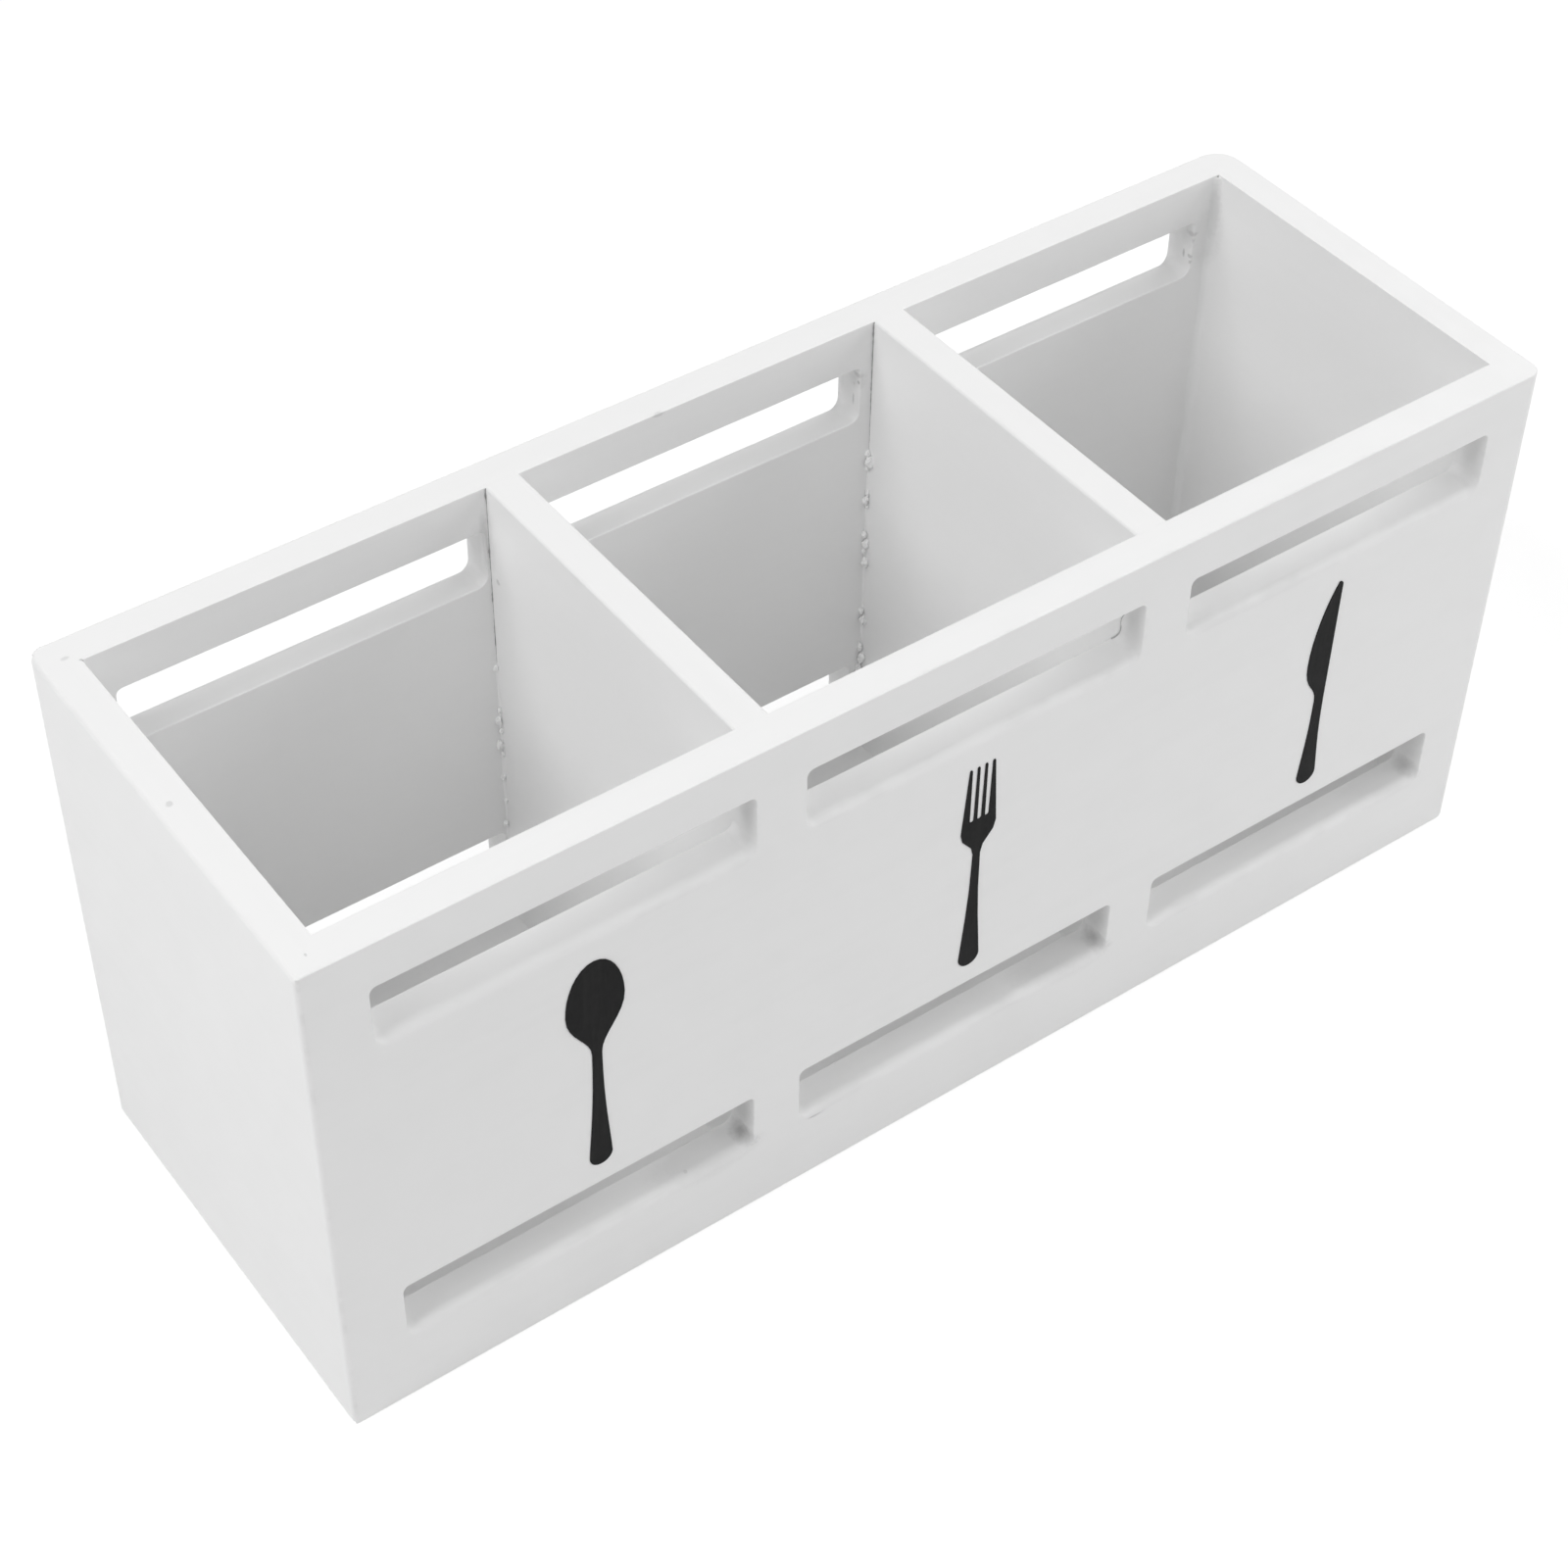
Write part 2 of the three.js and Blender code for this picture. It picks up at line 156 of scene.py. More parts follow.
class NodeSketch:
    """A short way to write the nodes of one tree."""

    def __init__(self, tree: bpy.types.NodeTree) -> None:
        """Keeps the tree that the nodes go in."""
        self.tree = tree

    def feed(self, value: object, target: Socket) -> None:
        """Links a socket to an input, or sets the input to a plain value."""
        if isinstance(value, Socket):
            self.tree.links.new(value, target)
        else:
            target.default_value = value

    def add(self, kind: str, **values: object) -> bpy.types.Node:
        """Adds a node.

        Args:
            kind: The node's type, such as ShaderNodeTexNoise.
            values: Its properties, or what its inputs get by name, with spaces as underscores.

        Returns:
            The new node.
        """
        node = self.tree.nodes.new(kind)
        for name, value in values.items():
            if hasattr(node, name):
                setattr(node, name, value)
            else:
                self.feed(value, node.inputs[name.replace("_", " ")])
        return node

    def ramp(self, value: Socket, low: float, high: float, to_low: float = 0.0,
             to_high: float = 1.0) -> Socket:
        """Maps a value so that it gives to_low at low and to_high at high, and no more beyond."""
        return self.add("ShaderNodeMapRange", Value=value, From_Min=low, From_Max=high,
                        To_Min=to_low, To_Max=to_high).outputs["Result"]

    def maths(self, kind: str, operation: str, *terms: object) -> bpy.types.Node:
        """Adds a node that works out one sum of sockets or plain numbers."""
        node = self.add(kind, operation=operation)
        for term, target in zip(terms, node.inputs):
            self.feed(term, target)
        return node

    def calculate(self, operation: str, first: object, second: object) -> Socket:
        """Works out one sum of two sockets or plain numbers, and returns its result."""
        return self.maths("ShaderNodeMath", operation, first, second).outputs["Value"]

    def sum(self, first: object, first_weight: float, second: object,
            second_weight: float) -> Socket:
        """Adds two values, each times its own weight, and returns the result."""
        return self.calculate("ADD", self.calculate("MULTIPLY", first, first_weight),
                              self.calculate("MULTIPLY", second, second_weight))

    def move(self, operation: str, first: Socket, second: Socket) -> Socket:
        """Works out one sum of two vectors, and returns the vector that it gives."""
        return self.maths("ShaderNodeVectorMath", operation, first, second).outputs["Vector"]

    def length(self, vector: Socket) -> Socket:
        """Measures a vector."""
        return self.maths("ShaderNodeVectorMath", "LENGTH", vector).outputs["Value"]

    def noise(self, vector: Socket, scale: object, detail: float, roughness: float) -> Socket:
        """Adds a noise texture, which gives values about 0.5 in the middle."""
        return self.add("ShaderNodeTexNoise", Vector=vector, Scale=scale, Detail=detail,
                        Roughness=roughness).outputs["Fac"]

    def blend(self, share: object, first: object, second: object) -> Socket:
        """Blends two colours.

        Args:
            share: How much of the second colour shows, from 0 to 1.
            first: A colour, or a socket that gives one.
            second: The other colour.

        Returns:
            The blended colour.
        """
        node = self.add("ShaderNodeMix", data_type="RGBA", Factor=share)
        for label, colour in (("A", first), ("B", second)):
            self.feed(colour, next(i for i in node.inputs if i.name == label and i.type == "RGBA"))
        return next(o for o in node.outputs if o.type == "RGBA")

    def group(self, tree: bpy.types.NodeTree, vector: Socket, **values: object) -> bpy.types.Node:
        """Places a shared effect that reads some coordinates, and sets its other inputs."""
        return self.add("ShaderNodeGroup", node_tree=tree, Vector=vector, **values)


class EffectSketch(NodeSketch):
    """The nodes of one shared effect, which reads coordinates and gives plain values."""

    def __init__(self, name: str, inputs: dict[str, float | Triple],
                 outputs: tuple[str, ...]) -> None:
        """Starts the effect's node group.

        Args:
            name: The group's name.
            inputs: The default value of each input besides its coordinates.
            outputs: The names of what it gives.
        """
        super().__init__(bpy.data.node_groups.new(name, "ShaderNodeTree"))
        faces = self.tree.interface
        faces.new_socket("Vector", in_out="INPUT", socket_type="NodeSocketVector")
        for label, value in inputs.items():
            kind = "NodeSocketFloat" if isinstance(value, float) else "NodeSocketVector"
            faces.new_socket(label, in_out="INPUT", socket_type=kind).default_value = value
        for label in outputs:
            faces.new_socket(label, in_out="OUTPUT", socket_type="NodeSocketFloat")
        self.given = self.add("NodeGroupInput").outputs
        self.result = self.add("NodeGroupOutput").inputs


class Effects:
    """The node groups that the finishes share. Each is built once."""

    noise_middle = 0.5
    dot_core = 0.6
    streaks_in_height, lumps_in_height, peel_in_height = 0.12, 0.6, 0.2
    streaks_in_shade, lumps_in_shade = 0.6, 0.4

    def __init__(self) -> None:
        """Builds the groups."""
        self.brushed = self.brushed_coat()
        self.spot = self.soft_spot()
        self.flecks = self.fleck_field()

    def brushed_coat(self) -> bpy.types.NodeTree:
        """A coat of paint over faint grain: long streaks, soft lumps and a fine peel."""
        sketch = EffectSketch("brushed_coat", {
            "Streak Scale": (12.0, 300.0, 300.0),
            "Lump Scale": 110.0,
            "Peel Scale": 1100.0,
        }, ("Height", "Shade"))
        given = sketch.given
        stretched = sketch.move("MULTIPLY", given["Vector"], given["Streak Scale"])
        streaks = sketch.noise(stretched, 1.0, detail=4.0, roughness=0.6)
        lumps = sketch.noise(given["Vector"], given["Lump Scale"], detail=2.0, roughness=0.5)
        peel = sketch.noise(given["Vector"], given["Peel Scale"], detail=2.0, roughness=0.4)
        coarse = sketch.sum(streaks, self.streaks_in_height, lumps, self.lumps_in_height)
        height = sketch.sum(coarse, 1.0, peel, self.peel_in_height)
        shade = sketch.sum(streaks, self.streaks_in_shade, lumps, self.lumps_in_shade)
        sketch.feed(height, sketch.result["Height"])
        sketch.feed(shade, sketch.result["Shade"])
        return sketch.tree

    def soft_spot(self) -> bpy.types.NodeTree:
        """A ragged spot round one place, such as a stain, a chip, a thin patch, or painted shade in
        a corner.
        """
        sketch = EffectSketch("soft_spot", {
            "Centre": (0.0, 0.0, 0.0),
            "Stretch": (1.0, 1.0, 1.0),
            "Radius": 0.002,
            "Rag Scale": 900.0,
            "Rag": 0.5,
            "Core": 0.55,
        }, ("Mask",))
        given = sketch.given
        away = sketch.move("SUBTRACT", given["Vector"], given["Centre"])
        distance = sketch.length(sketch.move("DIVIDE", away, given["Stretch"]))
        share = sketch.calculate("DIVIDE", distance, given["Radius"])
        swing = sketch.noise(given["Vector"], given["Rag Scale"], detail=3.0, roughness=0.6)
        centred = sketch.calculate("SUBTRACT", swing, self.noise_middle)
        ragged = sketch.calculate("MULTIPLY", centred, given["Rag"])
        left = sketch.calculate("SUBTRACT", 1.0, sketch.calculate("ADD", share, ragged))
        fade = sketch.calculate("SUBTRACT", 1.0, given["Core"])
        mask = sketch.ramp(sketch.calculate("DIVIDE", left, fade), 0.0, 1.0)
        sketch.feed(mask, sketch.result["Mask"])
        return sketch.tree

    def fleck_field(self) -> bpy.types.NodeTree:
        """Sparse specks: dust under the paint, or pinholes."""
        sketch = EffectSketch("fleck_field", {"Scale": 60.0, "Size": 0.03, "Share": 0.1}, ("Mask",))
        given = sketch.given
        cells = sketch.add("ShaderNodeTexVoronoi", feature="F1", Vector=given["Vector"],
                           Scale=given["Scale"])
        near = sketch.calculate("DIVIDE", cells.outputs["Distance"], given["Size"])
        dot = sketch.ramp(near, self.dot_core, 1.0, 1.0, 0.0)
        pick = sketch.add("ShaderNodeSeparateColor", Color=cells.outputs["Color"])
        chosen = sketch.calculate("LESS_THAN", pick.outputs["Red"], given["Share"])
        sketch.feed(sketch.calculate("MULTIPLY", dot, chosen), sketch.result["Mask"])
        return sketch.tree


class FinishSketch(NodeSketch):
    """The nodes of one finish: its shader, its coordinates and its coat."""

    height_range = (0.35, 0.65)

    def __init__(self, finish: "Finish", effects: Effects) -> None:
        """Starts the material.

        Args:
            finish: The finish that it shows.
            effects: The shared node groups.
        """
        self.material = bpy.data.materials.new(finish.name)
        self.material.use_nodes = True
        super().__init__(self.material.node_tree)
        self.effects = effects
        self.shader = self.tree.nodes["Principled BSDF"].inputs
        self.place = self.add("ShaderNodeTexCoord").outputs["Object"]
        coat = self.group(effects.brushed, self.place, Streak_Scale=finish.streak_scale,
                          Lump_Scale=finish.lump_scale).outputs
        self.height, self.shade = coat["Height"], coat["Shade"]
        self.second = self.ramp(self.shade, *finish.mixing)

    def roughen(self, limits: Pair) -> Socket:
        """Makes the low places of the coat smoother than the high ones."""
        return self.ramp(self.height, *self.height_range, *limits)

    def flecks(self, spread: Triple) -> Socket:
        """Spreads specks by their cells' scale, their size and the share of cells with one."""
        scale, size, share = spread
        return self.group(self.effects.flecks, self.place, Scale=scale, Size=size,
                          Share=share).outputs["Mask"]


@dataclass(frozen=True)
class Finish:
    """A surface of two colours that mix in streaks and lumps, with the same relief.

    The mixing pair says at which shades the second colour starts and is full. The roughness
    pair gives its lowest and highest value.
    """

    name: str
    colour: Colour
    second_colour: Colour
    streak_scale: Triple
    lump_scale: float
    mixing: Pair
    roughness: Pair
    relief_strength: float
    relief_depth: float
    metallic: float = 0.0
    sheen_level: float = 0.5

    def surface(self, sketch: FinishSketch) -> tuple[Socket, Socket, Socket]:
        """Gives the colour, the roughness and the relief. It is rougher in its second colour."""
        colour = sketch.blend(sketch.second, self.colour, self.second_colour)
        return colour, sketch.ramp(sketch.second, 0.0, 1.0, *self.roughness), sketch.height

    def make(self, effects: Effects) -> Material:
        """Builds the material.

        Args:
            effects: The shared node groups.

        Returns:
            The material.
        """
        sketch = FinishSketch(self, effects)
        colour, rough, height = self.surface(sketch)
        bump = sketch.add("ShaderNodeBump", Strength=self.relief_strength,
                          Distance=self.relief_depth, Height=height)
        for name, value in (("Base Color", colour), ("Roughness", rough),
                            ("Normal", bump.outputs["Normal"]), ("Metallic", self.metallic),
                            ("Specular IOR Level", self.sheen_level)):
            sketch.feed(value, sketch.shader[name])
        return sketch.material


@dataclass(frozen=True)
class MarkAndShade:
    """One dark spot in the paint colour, and how dark it is, from 0 to 1. Some are real marks, some
    are painted shade.

    The core is the share of the radius that is evenly dark. From there the spot fades.
    """

    place: Triple
    radius: float
    darkness: float
    stretch: Triple = (1.0, 1.0, 1.0)
    rag: float = 0.9
    core: float = 0.55


@dataclass(frozen=True)
class WhitePaint(Finish):
    """Brushed and sanded white paint on thin board.

    The streaks run along the board, so a board along X and one along Y wear two makes of it.
    """

    colour: Colour = (0.940, 0.940, 0.939, 1.0)
    second_colour: Colour = (0.931, 0.931, 0.930, 1.0)
    streak_scale: Triple = (9.0, 260.0, 260.0)
    lump_scale: float = 110.0
    mixing: Pair = (0.42, 0.62)
    roughness: Pair = (0.48, 0.62)
    relief_strength: float = 0.3
    relief_depth: float = 0.04 * MM
    # Specks, marks, rubbed edges and spots of painted shade all darken the paint toward this grey.
    stain_and_shade_colour: Colour = (0.42, 0.42, 0.42, 1.0)
    flecks: Triple = (45.0, 0.02, 0.12)
    fleck_darkness: float = 0.12
    rub_range: Pair = (0.5, 0.62)
    rub_darkness: float = 0.1
    stain_and_shade_relief: float = -0.8
    spots_and_shade: tuple[MarkAndShade, ...] = ()

    def surface(self, sketch: FinishSketch) -> tuple[Socket, Socket, Socket]:
        """Stains and sinks the paint at its specks, its marks, its rubbed edges and its spots of
        painted shade.

        Args:
            sketch: The finish's nodes.

        Returns:
            The colour, the roughness and the relief.
        """
        marks = sketch.calculate("MULTIPLY", sketch.flecks(self.flecks), self.fleck_darkness)
        # Some spots are real marks; most are painted shade in inside corners and slot ends.
        for mark in self.spots_and_shade:
            spot = sketch.group(sketch.effects.spot, sketch.place, Centre=mark.place,
                                Radius=mark.radius, Stretch=mark.stretch, Rag=mark.rag,
                                Core=mark.core)
            dark = sketch.calculate("MULTIPLY", spot.outputs["Mask"], mark.darkness)
            marks = sketch.calculate("MAXIMUM", marks, dark)
        edge = sketch.add("ShaderNodeAttribute", attribute_name=ARRIS).outputs["Fac"]
        worn = sketch.ramp(sketch.shade, *self.rub_range, 0.0, self.rub_darkness)
        marks = sketch.calculate("MAXIMUM", marks, sketch.calculate("MULTIPLY", edge, worn))
        paint = sketch.blend(sketch.second, self.colour, self.second_colour)
        return (sketch.blend(marks, paint, self.stain_and_shade_colour), sketch.roughen(self.roughness),
                sketch.sum(sketch.height, 1.0, marks, self.stain_and_shade_relief))


@dataclass(frozen=True)
class BlackFilm(Finish):
    """Thin black vinyl film, a little paler where it is scuffed."""

    name: str = "black_film_satin"
    colour: Colour = (0.010, 0.010, 0.0103, 1.0)
    second_colour: Colour = (0.017, 0.017, 0.017, 1.0)
    streak_scale: Triple = (500.0, 500.0, 40.0)
    lump_scale: float = 300.0
    mixing: Pair = (0.48, 0.66)
    roughness: Pair = (0.42, 0.6)
    relief_strength: float = 0.4
    relief_depth: float = 0.02 * MM
    sheen_level: float = 0.06
    flecks: Triple = (300.0, 0.08, 0.08)

    def surface(self, sketch: FinishSketch) -> tuple[Socket, Socket, Socket]:
        """Gives the colour, the roughness and the relief, with scuffs and specks."""
        scuff = sketch.calculate("MAXIMUM", sketch.second, sketch.flecks(self.flecks))
        colour = sketch.blend(scuff, self.colour, self.second_colour)
        return colour, sketch.roughen(self.roughness), sketch.height


DRAWN_STEEL = Finish("drawn_steel", (0.6, 0.61, 0.62, 1.0), (0.42, 0.42, 0.42, 1.0),
                     streak_scale=(4000.0, 60.0, 4000.0), lump_scale=900.0, mixing=(0.4, 0.65),
                     roughness=(0.25, 0.45), relief_strength=0.5, relief_depth=0.01 * MM,
                     metallic=1.0)
DRIED_GLUE = Finish("dried_glue", (0.36, 0.36, 0.36, 1.0), (0.58, 0.58, 0.58, 1.0),
                    streak_scale=(300.0, 300.0, 120.0), lump_scale=400.0, mixing=(0.4, 0.62),
                    roughness=(0.7, 0.9), relief_strength=0.6, relief_depth=0.1 * MM)


# Boards


def same(a: float, b: float) -> bool:
    """Tells whether two places are the same, to a micrometre."""
    return abs(a - b) < MERGE


def fit(bm: Mesh, verts: list[Vert], sizes: Triple | Vector, shift: Triple | Vector) -> None:
    """Scales some points about the origin, and then moves them."""
    bmesh.ops.scale(bm, vec=sizes, verts=verts)
    bmesh.ops.translate(bm, vec=shift, verts=verts)


def draw_rectangle(bm: Mesh, middle: Triple, length: float, height: float) -> list[Edge]:
    """Draws the outline of one upright rectangle that faces along Y.

    Args:
        bm: The mesh that it is drawn in.
        middle: Its middle.
        length: Its size along x.
        height: Its size along z.

    Returns:
        Its four edges.
    """
    verts = bmesh.ops.create_grid(bm, x_segments=1, y_segments=1, size=0.5)["verts"]
    bmesh.ops.scale(bm, vec=(length, height, 1.0), verts=verts)
    bmesh.ops.rotate(bm, matrix=Matrix.Rotation(math.pi / 2, 3, "X"), verts=verts)
    bmesh.ops.translate(bm, vec=middle, verts=verts)
    face = verts[0].link_faces[0]
    edges = face.edges[:]
    bmesh.ops.delete(bm, geom=[face], context="FACES_ONLY")
    return edges


def quarter_depths(radius: float, steps: int) -> list[float]:
    """Gives the depths of a quarter round's rings, from the face to its full depth."""
    return [radius * (1 - math.cos(step / steps * math.pi / 2)) for step in range(steps + 1)]


def drawn_in(radius: float, depth: float) -> float:
    """Gives how far outside its opening a quarter round still stands at one depth."""
    left = max(radius - depth, 0.0)
    return radius - math.sqrt(radius * radius - left * left)


def wear_layer(bm: Mesh) -> bmesh.types.BMLayerItem:
    """Finds or adds the layer that marks where the paint is rubbed thin."""
    return bm.verts.layers.float.get(ARRIS) or bm.verts.layers.float.new(ARRIS)


def round_over(bm: Mesh, test: Callable[[Edge], bool], radius: float, steps: int) -> None:
    """Rounds every edge that passes a test, and marks the rounds for the paint.

    Args:
        bm: The board.
        test: Says whether an edge is to be rounded.
        radius: The round's radius.
        steps: How many faces the round has across.
    """
    bm.normal_update()
    edges = [edge for edge in bm.edges if test(edge)]
    made = bmesh.ops.bevel(bm, geom=edges, offset=radius, offset_type="OFFSET", segments=steps,
                           profile=0.5, affect="EDGES", material=-1)
    rounds = set(made["faces"])
    arris = wear_layer(bm)
    for vert in {v for face in rounds for v in face.verts}:
        if all(face in rounds for face in vert.link_faces):
            vert[arris] = 1.0


@dataclass(frozen=True)
class SlotCut:
    """One slot through a wall, crisp but for its lower outer lip, which is sanded well round.

    The long edges wave a little. The wave's two rows set the upper edge apart from the lower.
    """

    across: float
    up: float
    length: float = 83 * MM
    height: float = 14.2 * MM
    corner: float = 1.5 * MM
    foot_corner: float = 2.4 * MM
    edge: float = 0.35 * MM
    lip: float = 2.4 * MM
    wave: float = 0.09 * MM
    wave_scale: float = 55.0
    wave_level: float = 90.0
    wave_rows: Pair = (1.0, 3.0)
    long_cuts: int = 17
    corner_steps: int = 5
    lip_steps: int = 6
    edge_steps: int = 3

    def outline(self, bm: Mesh, depth: float) -> list[Vert]:
        """Finds the slot's corners and points at one depth behind the outer face."""
        wide, tall = self.length / 2 + 2 * self.lip, self.height / 2 + 2 * self.lip
        return [v for v in bm.verts if same(v.co.y, depth) and abs(v.co.x - self.across) < wide
                and abs(v.co.z - self.up) < tall]

    def edges(self, verts: list[Vert]) -> list[Edge]:
        """Lists the edges at some points, each once and in a fixed order."""
        return list(dict.fromkeys(edge for vert in verts for edge in vert.link_edges))

    def ring(self, bm: Mesh, depth: float, edge: float, lip: float) -> None:
        """Draws the slot's outline at one depth.

        Args:
            bm: The board.
            depth: How far behind the outer face.
            edge: How far it stands outside the opening at the top and the ends.
            lip: How far it stands outside the opening at the foot.
        """
        middle = (self.across, depth, self.up + (edge - lip) / 2)
        draw_rectangle(bm, middle, self.length + 2 * edge, self.height + edge + lip)
        foot = self.foot_corner + (edge + lip) / 2
        for size, upper in ((self.corner + edge, True), (foot, False)):
            corners = [v for v in self.outline(bm, depth) if (v.co.z > middle[2]) == upper]
            bmesh.ops.bevel(bm, geom=corners, offset=size, offset_type="OFFSET",
                            segments=self.corner_steps, profile=0.5, affect="VERTICES",
                            material=-1)
        long_sides = [e for e in self.edges(self.outline(bm, depth))
                      if e.calc_length() > self.length / 2]
        bmesh.ops.bisect_edges(bm, edges=long_sides, cuts=self.long_cuts)
        for vert in self.outline(bm, depth):
            row = self.wave_rows[0 if vert.co.z > middle[2] else 1]
            spot = Vector((vert.co.x * self.wave_scale, self.up * self.wave_level, row))
            vert.co.z += self.wave * noise.noise(spot)

    def cut(self, bm: Mesh, thickness: float) -> None:
        """Makes the slot's walls, from its outer mouth to its inner one.

        Args:
            bm: The board.
            thickness: The board's thickness.
        """
        depths = quarter_depths(self.lip, self.lip_steps)
        for depth in depths:
            self.ring(bm, depth, drawn_in(self.edge, depth), drawn_in(self.lip, depth))
        for depth in reversed(quarter_depths(self.edge, self.edge_steps)):
            depths.append(thickness - depth)
            self.ring(bm, depths[-1], drawn_in(self.edge, depth), drawn_in(self.edge, depth))
        for near, far in zip(depths, depths[1:]):
            edges = self.edges(self.outline(bm, near) + self.outline(bm, far))
            bmesh.ops.bridge_loops(bm, edges=[e for e in edges
                                              if same(e.verts[0].co.y, e.verts[1].co.y)])
        arris = wear_layer(bm)
        for depth in depths[1:self.lip_steps]:
            for vert in self.outline(bm, depth):
                vert[arris] = 1.0


@dataclass
class Board(Piece):
    """One board of the box, which takes the place of its node."""

    node: str

    def settle(self, bm: Mesh) -> None:
        """Finishes the board, and keeps its flat faces flat beside their smooth rounds.

        Args:
            bm: The finished shape.
        """
        self.finish(bm)
        modifier = self.made.modifiers.new("flat_faces", "WEIGHTED_NORMAL")
        modifier.keep_sharp = True
        modifier.weight = FACE_WEIGHT
        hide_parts(self.node)


@dataclass
class WallBoard(Board):
    """One outer wall: a board with mitred ends, eased arrises and, in the long walls, slots.

    It is made lying along X with its outer face in the plane y = 0 and its inner face behind it.
    """

    side: Side
    length: float
    reach: float
    low_corner: float
    high_corner: float
    slots: tuple[SlotCut, ...] = ()
    height: float = 131.5 * MM
    thickness: float = 8 * MM
    rim_round: float = 0.5 * MM
    inner_round: float = 0.4 * MM
    corner_steps: int = 12
    rim_steps: int = 4
    inner_steps: int = 3

    def open_edges(self, bm: Mesh, depth: float) -> list[Edge]:
        """Finds the edges at one depth that have a face on one side only."""
        return [e for e in bm.edges if e.is_boundary and all(same(v.co.y, depth) for v in e.verts)]

    def sheet(self, bm: Mesh, depth: float) -> None:
        """Fills the face at one depth round its slots.

        Args:
            bm: The board.
            depth: How far the face is behind the outer one.
        """
        mouths = [e for e in bm.edges if all(same(v.co.y, depth) for v in e.verts)]
        rim = draw_rectangle(bm, (0.0, depth, self.height / 2), self.length, self.height)
        filled = bmesh.ops.triangle_fill(bm, edges=rim + mouths, use_beauty=True,
                                         use_dissolve=False)["geom"]
        kept = set(mouths)
        inner = [part for part in filled if isinstance(part, Edge) and part not in kept
                 and len(part.link_faces) == 2]
        bmesh.ops.dissolve_limit(bm, angle_limit=FLAT_ANGLE, verts=[], edges=inner)

    def blank(self) -> Mesh:
        """Makes the board with its slots and square edges, and returns it."""
        bm = bmesh.new()
        for slot in self.slots:
            slot.cut(bm, self.thickness)
        self.sheet(bm, 0.0)
        self.sheet(bm, self.thickness)
        rims = self.open_edges(bm, 0.0) + self.open_edges(bm, self.thickness)
        bmesh.ops.bridge_loops(bm, edges=rims)
        bmesh.ops.recalc_face_normals(bm, faces=bm.faces[:])
        return bm

    def is_inner_rim(self, edge: Edge) -> bool:
        """Tells whether an edge runs along the inside of the rim. The dividers close its round."""
        return all(same(v.co.z, self.height) and same(v.co.y, self.thickness) for v in edge.verts)

    def is_corner(self, edge: Edge, end: int) -> bool:
        """Tells whether an edge is the box's upright corner at one end, -1 or 1."""
        return all(same(v.co.x, end * self.length / 2) and same(v.co.y, 0.0) for v in edge.verts)

    def is_rim(self, edge: Edge) -> bool:
        """Tells whether an edge runs round the outside at the top or the foot."""
        level = any(all(same(v.co.z, z) for v in edge.verts) for z in (0.0, self.height))
        upright = [face for face in edge.link_faces if abs(face.normal.z) < LEVEL]
        return level and len(upright) == 1 and upright[0].normal.y < LEVEL

    def soften(self, bm: Mesh) -> None:
        """Rounds the corners and the rims.

        Args:
            bm: The board, before its mitres are cut.
        """
        round_over(bm, lambda edge: self.is_corner(edge, -1), self.low_corner, self.corner_steps)
        round_over(bm, lambda edge: self.is_corner(edge, 1), self.high_corner, self.corner_steps)
        round_over(bm, self.is_rim, self.rim_round, self.rim_steps)
        round_over(bm, self.is_inner_rim, self.inner_round, self.inner_steps)

    def mitre(self, bm: Mesh) -> None:
        """Cuts both ends at 45 degrees. The paint closes the joints, so no gap is left."""
        for end in (-1, 1):
            cut = bmesh.ops.bisect_plane(bm, geom=bm.verts[:] + bm.edges[:] + bm.faces[:],
                                         dist=MERGE, plane_co=(end * self.length / 2, 0.0, 0.0),
                                         plane_no=(end, 1.0, 0.0), clear_outer=True)["geom_cut"]
            bmesh.ops.holes_fill(bm, edges=[part for part in cut if isinstance(part, Edge)])

    def build(self) -> None:
        """Makes the board and turns it to its side of the box."""
        bm = self.blank()
        self.soften(bm)
        self.mitre(bm)
        bmesh.ops.remove_doubles(bm, verts=bm.verts[:], dist=MERGE)
        turn = Matrix.Rotation(math.radians(self.side.value), 4, "Z")
        put = turn @ Matrix.Translation((0.0, -self.reach, 0.0))
        bmesh.ops.transform(bm, matrix=put, verts=bm.verts[:])
        self.settle(bm)


@dataclass
class InsetBoard(Board):
    """A plain board between the walls: a divider or the bottom. Paint closes its joints."""

    reach: Pair
    upright: bool = True
    top_round: float = 0.6 * MM
    glue_line: float = 0.1 * MM
    flush: float = 0.01 * MM
    round_steps: int = 4

    def build(self) -> None:
        """Makes the board in the place of its node."""
        low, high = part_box(self.node)
        grow = Vector((*self.reach, 0.0))
        low -= grow + Vector((0.0, 0.0, self.glue_line if self.upright else 0.0))
        high += grow - Vector((0.0, 0.0, self.flush if self.upright else 0.0))
        bm = bmesh.new()
        bmesh.ops.create_cube(bm, size=1.0)
        fit(bm, bm.verts[:], high - low, (low + high) / 2)
        if self.upright:
            round_over(bm, lambda edge: all(same(v.co.z, high.z) for v in edge.verts)
                       and not same(edge.verts[0].co.y, edge.verts[1].co.y),
                       self.top_round, self.round_steps)
        self.settle(bm)


# Paint and glue at the joints


